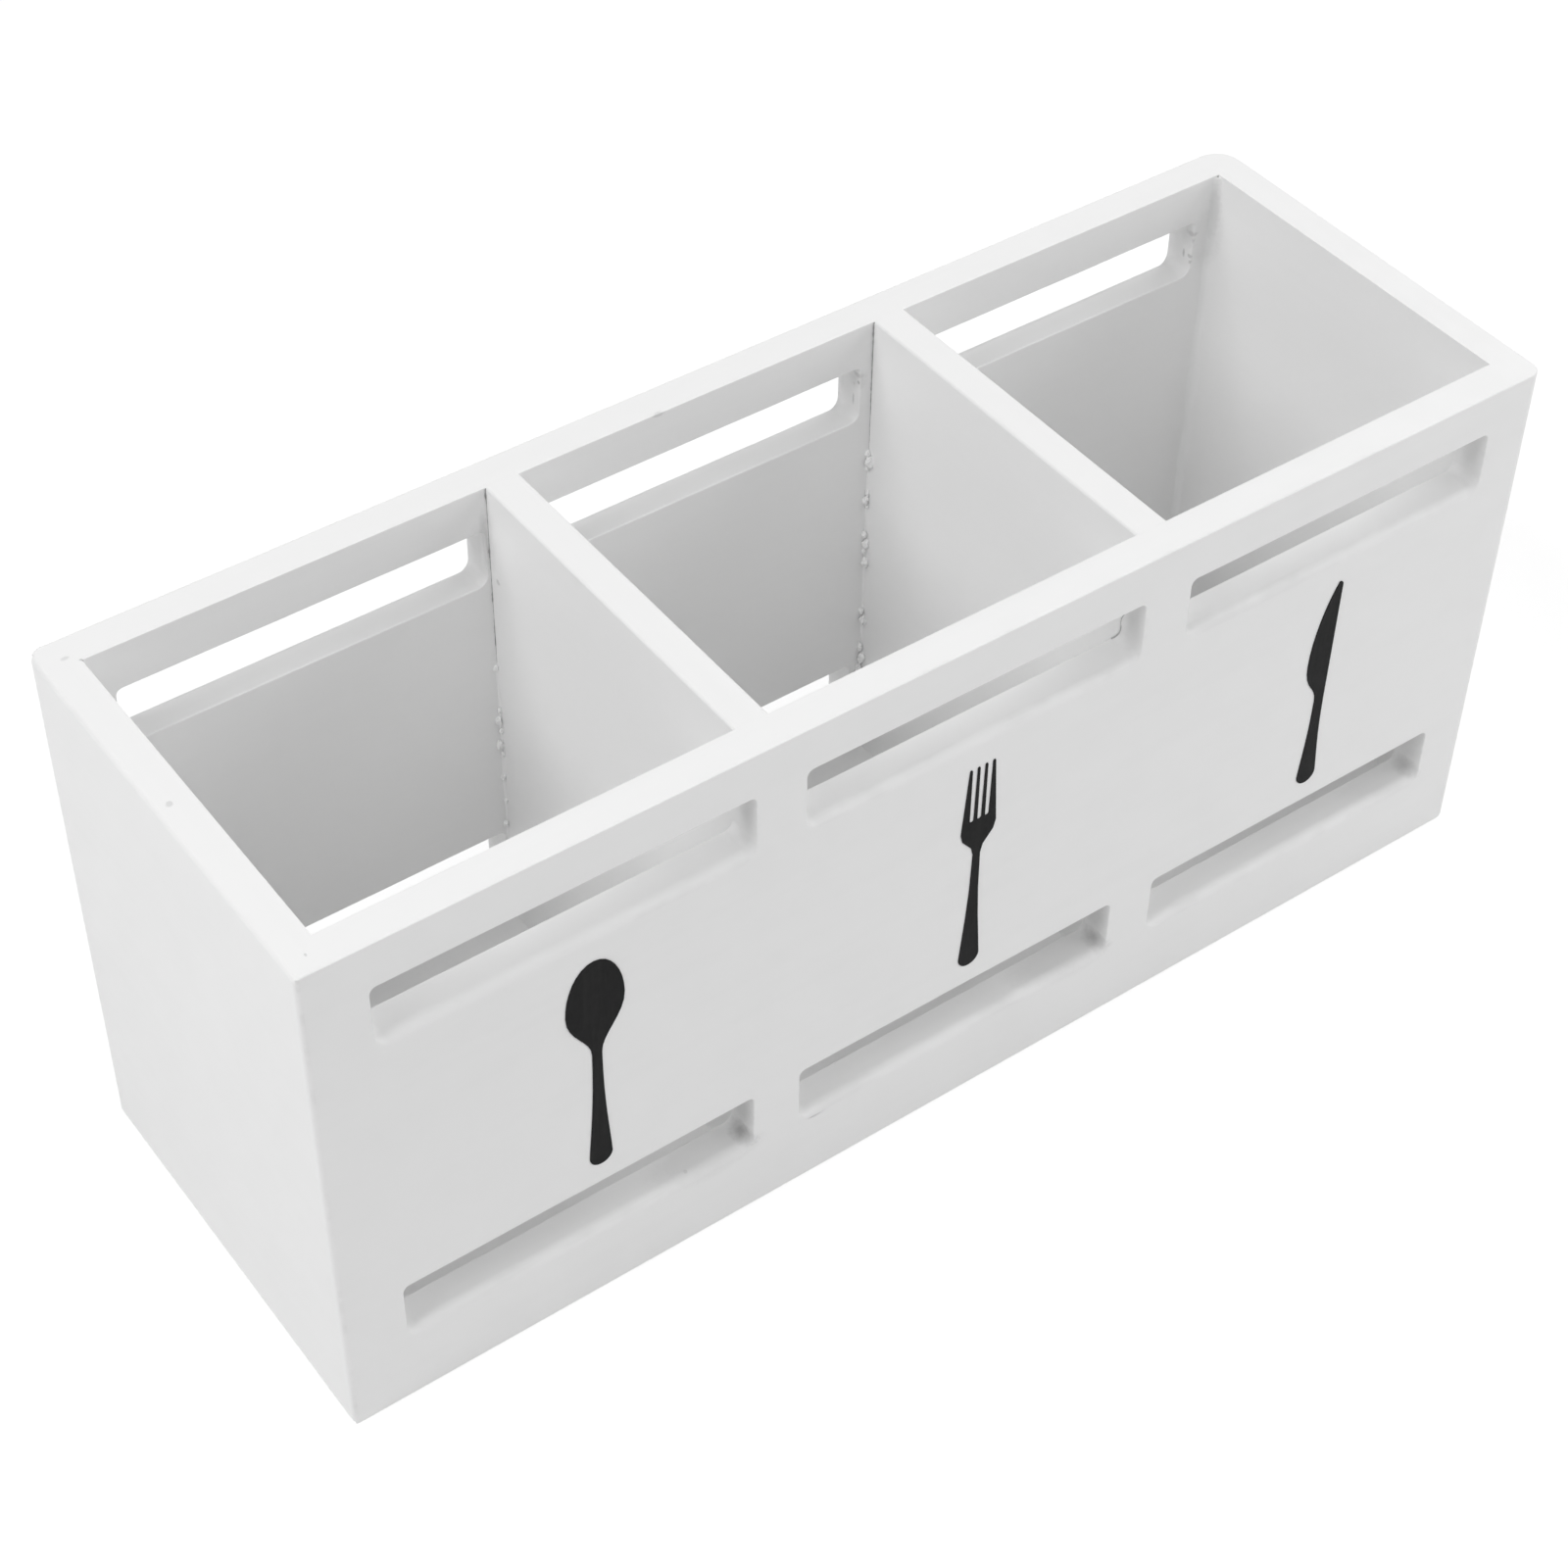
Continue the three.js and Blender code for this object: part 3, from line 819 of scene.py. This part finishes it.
@dataclass
class CornerLine(Piece):
    """A line of paint or glue up one upright inside corner of a compartment.

    Its corner is where the two faces meet, and opens says which way the room lies from there.
    """

    corner: Pair
    opens: tuple[int, int]

    def width_at(self, z: float) -> float:
        """Gives the line's width at one height."""
        raise NotImplementedError

    def section(self, bm: Mesh) -> Face:
        """Draws the line's cross-section with a width of 1, and returns its face."""
        raise NotImplementedError

    def draw_up(self, foot: float, top: float, step: float, proud: float) -> None:
        """Draws the section up the corner, as wide as the line is at each height.

        Args:
            foot: The line's lowest height.
            top: Its highest height.
            step: About how far apart its rows are.
            proud: How far it is moved out of both faces.
        """
        bm = bmesh.new()
        face = self.section(bm)
        width = self.width_at(foot)
        fit(bm, bm.verts[:], (width, width, 1.0), (0.0, 0.0, foot))
        rows = round((top - foot) / step)
        for row in range(1, rows + 1):
            z = foot + (top - foot) * row / rows
            grown = bmesh.ops.extrude_face_region(bm, geom=[face, *face.edges, *face.verts])["geom"]
            verts = [part for part in grown if isinstance(part, Vert)]
            face = next(part for part in grown if isinstance(part, Face))
            change = self.width_at(z) / width
            width *= change
            fit(bm, verts, (change, change, 1.0), (0.0, 0.0, z - verts[0].co.z))
        bmesh.ops.translate(bm, vec=(proud, proud, 0.0), verts=bm.verts[:])
        fit(bm, bm.verts[:], (*self.opens, 1.0), (*self.corner, 0.0))
        bmesh.ops.remove_doubles(bm, verts=bm.verts[:], dist=MERGE)
        self.finish(bm)


@dataclass
class PaintCove(CornerLine):
    """The rounded bead of paint and glue that fills a corner, thin where the joint is left bare.

    Its lumps are a slow swell and a quick one, each with its scale up the joint and its share.
    """

    radius: float = 0.75 * MM
    lumpiness: float = 0.4
    seed: float = 0.0
    bare: tuple[Pair, ...] = ()
    foot: float = 8.0 * MM
    top: float = 130.8 * MM
    step: float = 1.1 * MM
    taper: float = 4 * MM
    slow: Pair = (90.0, 1.2)
    quick: Pair = (330.0, 0.7)
    quick_row: float = 5.0
    thinnest: float = 0.02 * MM
    arc_steps: int = 5
    proud: float = -0.06 * MM
    dry: bool = False

    def width_at(self, z: float) -> float:
        """Gives the bead's radius at one height."""
        slow = noise.noise(Vector((self.seed, 0.0, z * self.slow[0])))
        quick = noise.noise(Vector((self.seed, self.quick_row, z * self.quick[0])))
        swell = self.slow[1] * slow + self.quick[1] * quick
        radius = self.radius * (1.0 + self.lumpiness * swell)
        for low, high in self.bare:
            radius *= min(1.0, max((low - z) / self.taper, (z - high) / self.taper, 0.0))
        return max(radius, self.thinnest)

    def section(self, bm: Mesh) -> Face:
        """Draws the bead's hollow quarter with a radius of 1, and returns its face."""
        start = bm.verts.new((1.0, 0.0, 0.0))
        bmesh.ops.spin(bm, geom=[start], cent=(1.0, 1.0, 0.0), axis=(0.0, 0.0, 1.0),
                       angle=-math.pi / 2, steps=self.arc_steps)
        return bm.faces.new(bm.verts[:] + [bm.verts.new((0.0, 0.0, 0.0))])

    def build(self) -> None:
        """Draws the bead up its corner."""
        self.draw_up(self.foot, self.top, self.step, self.proud)


@dataclass
class JointCrack(CornerLine):
    """A ragged hairline that stays open where the paint has not bridged the joint.

    Its widths are given up the joint, from the lowest height to the highest, in millimetres.
    """

    widths: tuple[Pair, ...]
    seed: float
    raggedness: float = 0.7
    rag_scale: float = 900.0
    rag_row: float = 9.0
    thinnest: float = 0.01 * MM
    step: float = 0.35 * MM
    proud: float = 0.03 * MM
    dry: bool = True

    def width_at(self, z: float) -> float:
        """Gives the crack's width at one height, between the two nearest given ones."""
        pairs = list(zip(self.widths, self.widths[1:]))
        low, high = next((pair for pair in pairs if z <= pair[1][0] * MM), pairs[-1])
        share = (z / MM - low[0]) / (high[0] - low[0])
        width = (low[1] + (high[1] - low[1]) * min(max(share, 0.0), 1.0)) * MM
        swing = noise.noise(Vector((self.seed, self.rag_row, z * self.rag_scale)))
        return max(width * (1.0 + self.raggedness * swing), self.thinnest)

    def section(self, bm: Mesh) -> Face:
        """Draws a wedge with its edge in the corner, and returns its face."""
        ring = bmesh.ops.create_circle(bm, segments=3, radius=1.0, cap_ends=True)["verts"]
        bmesh.ops.rotate(bm, matrix=Matrix.Rotation(math.radians(45), 3, "Z"), verts=ring)
        return ring[0].link_faces[0]

    def build(self) -> None:
        """Draws the crack up its corner."""
        self.draw_up(self.widths[0][0] * MM, self.widths[-1][0] * MM, self.step, self.proud)


@dataclass(frozen=True)
class Drop:
    """One bead of paint: where it sits, and its three half sizes."""

    place: Triple
    size: Triple


@dataclass
class PaintDrops(Piece):
    """Small beads of paint or glue that dried where they sat."""

    drops: tuple[Drop, ...]
    roughness: float = 0.5
    rough_scale: float = 900.0
    rough_pitch: float = 1.7
    round_steps: int = 3
    dry: bool = False

    def build(self) -> None:
        """Makes every drop as an uneven round lump, all in one piece."""
        bm = bmesh.new()
        for drop in self.drops:
            verts = bmesh.ops.create_icosphere(bm, subdivisions=self.round_steps,
                                               radius=1.0)["verts"]
            middle = Vector(drop.place)
            for vert in verts:
                swell = noise.noise(middle * self.rough_scale + vert.co * self.rough_pitch)
                vert.co *= 1.0 + self.roughness * swell
            fit(bm, verts, drop.size, middle)
        self.finish(bm)


def drop_line(path: tuple[Triple, ...], size: Triple, aside: float) -> tuple[Drop, ...]:
    """Lists drops close together along a path, so that they dry as one line.

    Args:
        path: The line's corners, in millimetres.
        size: Each drop's three half sizes, in millimetres.
        aside: How far the line is moved along y, in millimetres.

    Returns:
        The drops.
    """
    drops = []
    for start, end in zip(path, path[1:]):
        span = Vector(end) - Vector(start)
        count = max(1, round(span.length / size[2]))
        for step in range(count):
            place = Vector(start) + span * (step / count) + Vector((0.0, aside, 0.0))
            drops.append(Drop(tuple(place * MM), tuple(Vector(size) * MM)))
    return tuple(drops)


def lump_row(name: str, x: float, y: float, beads: tuple[Pair, ...]) -> PaintDrops:
    """Lists a row of lumps up the rear corner beside a divider.

    Args:
        name: The piece's name.
        x: The divider's left face.
        y: The rear wall's inner face.
        beads: Each lump's height and size, in millimetres.

    Returns:
        The lumps.
    """
    off_face, off_line, across, tall = 0.4, 0.35, 0.75, 1.2
    drops = []
    for i, (height, size) in enumerate(beads):
        aside = off_line * size * (1 if i % 2 else -1) * MM
        place = (x - off_face * size * MM + min(aside, 0.0),
                 y - off_face * size * MM - max(aside, 0.0), height * MM)
        drops.append(Drop(place, (across * size * MM, across * size * MM, tall * size * MM)))
    return PaintDrops(name, tuple(drops))


LEFT_CRACK = (
    (84, 0.02), (88.5, 0.05), (90, 0.2), (92, 0.14), (94, 0.24), (95.8, 0.12), (97, 0.05),
    (100.8, 0.06), (101.8, 0.26), (103.2, 0.32), (104, 0.1), (108, 0.05), (112, 0.1),
    (113.5, 0.22), (115, 0.34), (117, 0.12), (120, 0.07), (127, 0.08), (128.4, 0.14),
    (129.3, 0.34), (130.8, 0.34), (131.3, 0.1))
RIGHT_CRACK = (
    (97, 0.02), (99, 0.05), (104, 0.09), (108, 0.12), (111, 0.2), (115, 0.24), (120, 0.26),
    (126, 0.3), (130.5, 0.34), (131.3, 0.15))
CORNER_CRACK = (
    (104, 0.02), (112, 0.05), (120, 0.09), (126.5, 0.12), (128, 0.2), (129.5, 0.32),
    (130.8, 0.36), (131.3, 0.2))
LEFT_LUMPS = (
    (83, 0.7), (71, 0.7), (68, 0.9), (65, 0.7), (61, 1.0), (58, 0.6), (51, 0.7), (44, 0.6),
    (37, 0.8), (29, 0.7), (22, 0.6))
RIGHT_LUMPS = (
    (96, 0.8), (94, 1.2), (92, 0.7), (85, 0.7), (83, 1.0), (81, 0.6), (73, 0.8), (70.5, 1.0),
    (68, 0.7), (65, 1.1), (50, 0.8), (47.5, 1.1), (39, 0.9), (36, 1.2), (32.5, 1.0), (24, 0.8),
    (15, 1.1))
PAINT_EDGE = (
    (42.0, -45.0, 114.1), (42.0, -44.45, 113.1), (42.0, -44.0, 111.8), (42.0, -43.95, 110.8),
    (42.0, -44.1, 109.8), (42.0, -44.1, 108.9), (41.85, -43.95, 108.0), (41.45, -43.7, 107.25),
    (40.85, -43.4, 106.72), (40.3, -43.15, 106.4))


Bead = PaintCove | JointCrack | PaintDrops


def joint_beads() -> list[Bead]:
    """Lists the paint and glue at the joints, as the photograph shows them at the rear."""
    inner_x, inner_y = 142 * MM, 43 * MM
    left_low, left_high = (corner.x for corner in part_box("left_divider"))
    right_low, right_high = (corner.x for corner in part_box("right_divider"))
    cells = (("left", -inner_x, left_low), ("middle", left_high, right_low),
             ("right", right_high, inner_x))
    special = {
        "left_rear_right": {"bare": ((86 * MM, 140 * MM),)},
        "middle_rear_right": {"bare": ((98 * MM, 140 * MM),)},
        "left_front_right": {"bare": ((16 * MM, 38 * MM), (102 * MM, 125 * MM))},
        "right_rear_right": {"radius": 1.9 * MM, "lumpiness": 0.15},
    }
    parts: list[Bead] = []
    for cell, low, high in cells:
        for end, y, open_y in (("front", -inner_y, 1), ("rear", inner_y, -1)):
            for hand, x, open_x in (("left", low, 1), ("right", high, -1)):
                key = f"{cell}_{end}_{hand}"
                parts.append(PaintCove(f"paint_cove_{key}", (x, y), (open_x, open_y),
                                       seed=float(len(parts)), **special.get(key, {})))
    return parts + [
        JointCrack("joint_crack_left", (left_low, inner_y), (-1, -1), LEFT_CRACK, 3.0),
        JointCrack("joint_crack_right", (right_low, inner_y), (-1, -1), RIGHT_CRACK, 7.0),
        JointCrack("joint_crack_corner", (inner_x, inner_y), (-1, -1), CORNER_CRACK, 1.0),
        lump_row("glue_lumps_left", left_low, inner_y, LEFT_LUMPS),
        lump_row("glue_lumps_right", right_low, inner_y, RIGHT_LUMPS),
        PaintDrops("paint_edge", drop_line(PAINT_EDGE, (0.2, 0.22, 0.3), 0.0), roughness=0.3),
        # Two thin dark lines in the glue colour just beside the paint edge, wider at its lower
        # bend.
        PaintDrops("paint_edge_dark_line_upper",
                   drop_line(PAINT_EDGE[:5], (0.06, 0.07, 0.3), -0.3), dry=True),
        PaintDrops("paint_edge_dark_line_lower",
                   drop_line(PAINT_EDGE[4:], (0.1, 0.13, 0.3), -0.33), dry=True),
    ]


# The studio


@dataclass(frozen=True)
class Softbox:
    """One square soft lamp: its name, its place, its side and its power in watts."""

    name: str
    place: Triple
    size: float
    watts: float


@dataclass
class Studio:
    """Floor, lamps, world and camera."""

    eye: Triple = (-0.30238, -0.39469, 0.54056)
    right: Triple = (0.81027, -0.5859, 0.0136)
    ahead: Triple = (0.42608, 0.57299, -0.7001)
    lens_mm: float = 73.911
    sensor_mm: float = 36.0
    clip: Pair = (0.01, 50.0)
    floor_size: float = 6.0
    floor_colour: Colour = (0.8, 0.8, 0.8, 1.0)
    floor_glow: float = 0.4
    shadow_reach: Pair = (0.6, 1.2)
    world_level: float = 0.325
    aim: Triple = (0.0, 0.0, 0.05)
    lamps: tuple[Softbox, ...] = (
        Softbox("left_high_softbox", (-0.9, 0.0, 1.0), 0.8, 7.45),
        Softbox("front_high_softbox", (0.1, -0.8, 1.2), 0.8, 1.6),
        Softbox("front_right_softbox", (0.9, -0.9, 0.5), 0.8, 3.7),
        Softbox("right_high_softbox", (0.9, 0.2, 1.0), 0.8, 4.6),
    )

    def camera(self) -> None:
        """Sets the camera at the photograph's angle."""
        data = bpy.data.cameras.new("photo_camera")
        data.lens = self.lens_mm
        data.sensor_width = self.sensor_mm
        data.clip_start, data.clip_end = self.clip
        camera = bpy.data.objects.new("photo_camera", data)
        ahead = Vector(self.ahead).normalized()
        right = Vector(self.right)
        right = (right - ahead * right.dot(ahead)).normalized()
        turn = Matrix((right, right.cross(ahead), -ahead)).transposed()
        camera.matrix_world = Matrix.Translation(self.eye) @ turn.to_4x4()
        bpy.context.scene.collection.objects.link(camera)
        bpy.context.scene.camera = camera

    @staticmethod
    def seen(sketch: NodeSketch) -> Socket:
        """Tells whether a ray comes from the camera, straight or by way of a gloss."""
        path = sketch.add("ShaderNodeLightPath").outputs
        mirrored = sketch.calculate("MAXIMUM", path["Is Glossy Ray"], path["Is Transmission Ray"])
        return sketch.calculate("MAXIMUM", path["Is Camera Ray"], mirrored)

    def floor(self) -> None:
        """Lays a pale floor that keeps the holder's shadow and is white further off."""
        bm = bmesh.new()
        bmesh.ops.create_grid(bm, x_segments=1, y_segments=1, size=self.floor_size / 2)
        floor = add_mesh(bm, "studio_floor")
        material = bpy.data.materials.new("studio_floor")
        material.use_nodes = True
        sketch = NodeSketch(material.node_tree)
        nodes = material.node_tree.nodes
        nodes.remove(nodes["Principled BSDF"])
        matt = sketch.add("ShaderNodeBsdfDiffuse", Color=self.floor_colour)
        away = sketch.length(sketch.add("ShaderNodeTexCoord").outputs["Object"])
        level = sketch.ramp(away, *self.shadow_reach, self.floor_glow, 1.0)
        strength = sketch.calculate("MULTIPLY", level, self.seen(sketch))
        glow = sketch.add("ShaderNodeEmission", Color=WHITE, Strength=strength)
        both = sketch.add("ShaderNodeAddShader")
        sketch.feed(matt.outputs[0], both.inputs[0])
        sketch.feed(glow.outputs[0], both.inputs[1])
        sketch.feed(both.outputs[0], nodes["Material Output"].inputs["Surface"])
        floor.data.materials.append(material)

    def world(self) -> None:
        """Lights the room evenly, and shows white to the camera and in reflections."""
        world = bpy.data.worlds.new("studio_world")
        bpy.context.scene.world = world
        world.use_nodes = True
        sketch = NodeSketch(world.node_tree)
        back = world.node_tree.nodes["Background"].inputs
        back["Color"].default_value = WHITE
        level = sketch.ramp(self.seen(sketch), 0.0, 1.0, self.world_level, 1.0)
        sketch.feed(level, back["Strength"])

    def hang(self, box: Softbox) -> None:
        """Hangs one soft lamp that points at the holder.

        Args:
            box: The lamp's place, size and power.
        """
        data = bpy.data.lights.new(box.name, "AREA")
        data.shape = "SQUARE"
        data.size = box.size
        data.energy = box.watts
        lamp = bpy.data.objects.new(box.name, data)
        lamp.location = box.place
        lamp.rotation_mode = "QUATERNION"
        lamp.rotation_quaternion = (Vector(self.aim) - Vector(box.place)).to_track_quat("-Z", "Y")
        bpy.context.scene.collection.objects.link(lamp)

    def build(self) -> None:
        """Sets up the whole studio."""
        self.camera()
        self.floor()
        self.world()
        for box in self.lamps:
            self.hang(box)


# Dark spots in the paint colour. The first six are small marks; the rest are mostly painted shade,
# group by group below.
MARKS_AND_PAINTED_SHADE = tuple(MarkAndShade(place, radius * MM, *look) for place, radius, *look in (
    ((-0.1468, -0.0006, 0.1315), 0.9, 0.35),
    ((-0.1444, 0.0452, 0.1315), 1.0, 0.3, (1.0, 0.6, 1.0)),
    ((-0.1452, -0.0466, 0.1315), 0.5, 0.4, (0.6, 1.0, 1.0), 1.6),
    ((-0.1421, 0.0431, 0.1313), 0.5, 0.6),
    ((-0.0108, 0.0430, 0.1312), 1.1, 0.3, (1.6, 1.0, 0.5)),
    ((-0.0527, 0.0404, 0.1083), 0.8, 0.4),
    # Painted shade down the rear inside corners beside the left divider and the right end: broad
    # and faint, with a narrow darker core.
    ((-0.0552, 0.0428, 0.1150), 4.5, 0.16, (0.8, 1.0, 2.0), 0.4),
    ((-0.0539, 0.0428, 0.1170), 2.2, 0.34, (0.6, 1.0, 4.5), 0.5),
    ((0.1398, 0.0425, 0.1160), 4.5, 0.15, (0.9, 1.0, 2.4), 0.4),
    ((0.1411, 0.0420, 0.1210), 2.2, 0.27, (0.7, 1.0, 5.0), 0.5),
    # At the right ends of the middle and right rear upper slots: broad soft spots of painted shade
    # near the top, with small dark smudges among them.
    ((0.0415, 0.0447, 0.1168), 3.0, 0.32, (1.0, 0.85, 1.2), 0.7, 0.1),
    ((0.0415, 0.0441, 0.1181), 1.8, 0.55, (1.0, 1.1, 0.55), 0.7, 0.3),
    ((0.0415, 0.0436, 0.1163), 0.6, 0.85, (1.0, 1.0, 1.2), 0.5, 0.3),
    ((0.0415, 0.0451, 0.1152), 0.5, 0.4),
    ((0.0415, 0.0452, 0.1109), 0.9, 0.5, (1.0, 0.5, 2.2), 0.8, 0.3),
    ((0.1365, 0.0444, 0.1162), 3.2, 0.28, (1.0, 0.9, 1.2), 0.7, 0.1),
    ((0.1365, 0.0439, 0.1171), 2.0, 0.55, (1.0, 1.1, 0.55), 0.7, 0.3),
    ((0.1365, 0.0430, 0.1156), 1.0, 0.45, (1.0, 0.8, 1.2), 0.8, 0.2),
    ((0.1365, 0.0455, 0.1109), 0.7, 0.6, (1.0, 0.7, 2.0), 0.7, 0.3),
    ((0.1365, 0.0435, 0.1111), 0.8, 0.5, (1.0, 1.0, 0.8), 0.7),
    ((0.1365, 0.0432, 0.1096), 0.6, 0.4),
    # Painted shade in the front slots: deep at the inner right ends of the lower slots, down the
    # end walls of both rows, and along the lower slots' floors.
    ((-0.0534, -0.0474, 0.0206), 3.6, 0.84, (1.1, 1.35, 0.9), 0.5, 0.1),
    ((0.0415, -0.0474, 0.0206), 3.6, 0.72, (1.1, 1.35, 0.9), 0.5, 0.1),
    ((0.1359, -0.0472, 0.0207), 3.4, 0.54, (1.1, 1.3, 1.0), 0.5, 0.1),
    ((-0.0529, -0.0464, 0.0270), 4.8, 0.34, (0.4, 1.0, 1.5), 0.4, 0.3),
    ((0.0420, -0.0464, 0.0270), 4.8, 0.32, (0.4, 1.0, 1.5), 0.4, 0.3),
    ((0.1364, -0.0464, 0.0270), 4.8, 0.18, (0.4, 1.0, 1.5), 0.4, 0.3),
    ((-0.0529, -0.0482, 0.1130), 4.0, 0.22, (0.6, 0.8, 2.2), 0.4, 0.2),
    ((0.0420, -0.0484, 0.1130), 4.0, 0.20, (0.6, 0.8, 2.2), 0.4, 0.2),
    ((0.1364, -0.0480, 0.1130), 4.0, 0.16, (0.6, 0.9, 2.2), 0.4, 0.2),
    ((-0.0620, -0.0468, 0.0205), 6.5, 0.2, (2.6, 1.0, 1.0), 0.3),
    ((0.0330, -0.0462, 0.0205), 6.5, 0.22, (2.6, 1.0, 1.0), 0.3),
    ((0.1290, -0.0460, 0.0205), 6.0, 0.12, (2.4, 1.0, 1.0), 0.3),
    # Two small dark spots: on the left lower front slot's floor and on the front face.
    ((-0.0688, -0.0492, 0.0200), 0.7, 0.4),
    ((-0.1187, -0.0510, 0.1064), 1.2, 0.1, (1.6, 1.0, 1.0), 1.8),
))


def holder_boards() -> list[WallBoard | InsetBoard]:
    """Lists the boards of the box, with the sizes that differ from one to the next."""
    long, deep, pitch = 300 * MM, 102 * MM, 95 * MM
    levels = (27.1 * MM, 113.4 * MM)
    front_left, front_right, rear_right, rear_left = 1.1 * MM, 3.0 * MM, 6.0 * MM, 3.6 * MM
    into_walls, all_round = (0.0, 0.5 * MM), (0.1 * MM, 0.1 * MM)
    front_slots = tuple(SlotCut(across * MM, up, length=length * MM) for up in levels
                        for across, length in ((-94.5, 83.2), (0.4, 83.2), (95.2, 82.4)))
    rear_slots = tuple(SlotCut(column * pitch, up) for up in levels for column in (-1, 0, 1))
    return [
        WallBoard("front_board", "front_panel", Side.FRONT, long, deep / 2, front_left,
                  front_right, front_slots),
        WallBoard("rear_board", "rear_panel", Side.REAR, long, deep / 2, rear_right,
                  rear_left, rear_slots),
        WallBoard("left_end_board", "left_end_panel", Side.LEFT, deep, long / 2, rear_left,
                  front_left, rim_round=1.0 * MM),
        WallBoard("right_end_board", "right_end_panel", Side.RIGHT, deep, long / 2, front_right,
                  rear_right),
        InsetBoard("left_divider_board", "left_divider", into_walls),
        InsetBoard("right_divider_board", "right_divider", into_walls),
        InsetBoard("floor_board", "bottom_board", all_round, upright=False),
    ]


def main() -> None:
    """Builds and dresses every piece in order."""
    logging.basicConfig(level=logging.INFO, format="%(message)s")
    bpy.context.scene.view_settings.view_transform = "Standard"
    Studio().build()
    effects = Effects()
    long_paint = WhitePaint("white_paint_long", streak_scale=(9.0, 260.0, 260.0),
                            spots_and_shade=MARKS_AND_PAINTED_SHADE).make(effects)
    short_paint = WhitePaint("white_paint_short", streak_scale=(260.0, 9.0, 260.0),
                             spots_and_shade=MARKS_AND_PAINTED_SHADE).make(effects)
    film = BlackFilm().make(effects)
    steel = DRAWN_STEEL.make(effects)
    glue = DRIED_GLUE.make(effects)
    for board in holder_boards():
        board.build()
        along_x = isinstance(board, WallBoard) and board.side in (Side.FRONT, Side.REAR)
        board.dress(long_paint if along_x else short_paint)
        log.info("built %s", board.name)
    for part in joint_beads():
        part.build()
        part.dress(glue if part.dry else short_paint)
        log.info("built %s", part.name)
    for name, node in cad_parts.items():
        if name.endswith("_decal"):
            wear(node, film)
            log.info("dressed %s", name)
        elif name.startswith("pin_"):
            wear(node, steel)
            log.info("dressed %s", name)


if __name__ == "__main__":
    main()
